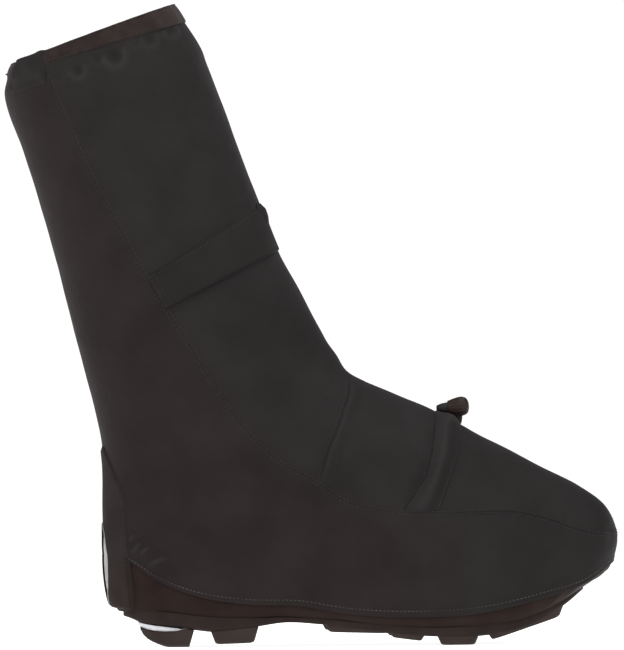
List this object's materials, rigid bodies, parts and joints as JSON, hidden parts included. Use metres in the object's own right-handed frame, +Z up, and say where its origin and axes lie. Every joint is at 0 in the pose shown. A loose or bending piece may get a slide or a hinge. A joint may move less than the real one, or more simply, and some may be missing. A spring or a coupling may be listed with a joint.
{
  "type": "overshoe",
  "caption": "Tall black winter cycling overshoe for a right foot, with a leaning fabric shaft, ankle strap, instep drawcord with a cord lock, coated rand and a lugged sole.",
  "frame": {"origin": "middle of the flat foot face of the rear heel lug, on the floor", "axes": "+X towards the toe, +Y towards the inner side of the right foot, +Z up along the height"},
  "size_m": [0.3592, 0.1089, 0.3797],
  "materials": {
    "fabric": "matte charcoal laminated fabric with a faint soft sheen",
    "coated_fabric": "brown-black coated abrasion fabric",
    "rubber": "black moulded rubber",
    "grey_foam": "light grey moulded foam",
    "slick_panel": "slick coated fabric",
    "reflective": "silver-white reflective film",
    "webbing": "matte black folded fabric",
    "elastic": "brown-black ribbed elastic",
    "brown_plastic": "satin brown-black moulded plastic",
    "grey_plastic": "satin dark grey moulded plastic",
    "cord": "braided black elastic cord"
  },
  "bodies": {
    "boot": {"upper": "fabric", "rand": "coated_fabric", "outsole": "rubber", "heel_wedge": "grey_foam", "heel_lug": "rubber", "heel_panel": "slick_panel", "back_strip": "reflective", "ankle_strap": "webbing", "strap_tab": "webbing", "instep_tunnel": "fabric", "vamp_pleat": "fabric", "collar_binding": "elastic", "collar_tab": "fabric", "lock_body": "brown_plastic", "lock_cord": "cord"},
    "plunger": {"lock_plunger": "grey_plastic"}
  },
  "joints": [
    {"name": "plunger_press", "type": "slide", "parent": "boot", "child": "plunger", "axis": [0.9962, 0, 0.0872], "range_m": [0, 0.003], "stiffness_N_per_m": 600, "springref_m": -0.002}
  ]
}
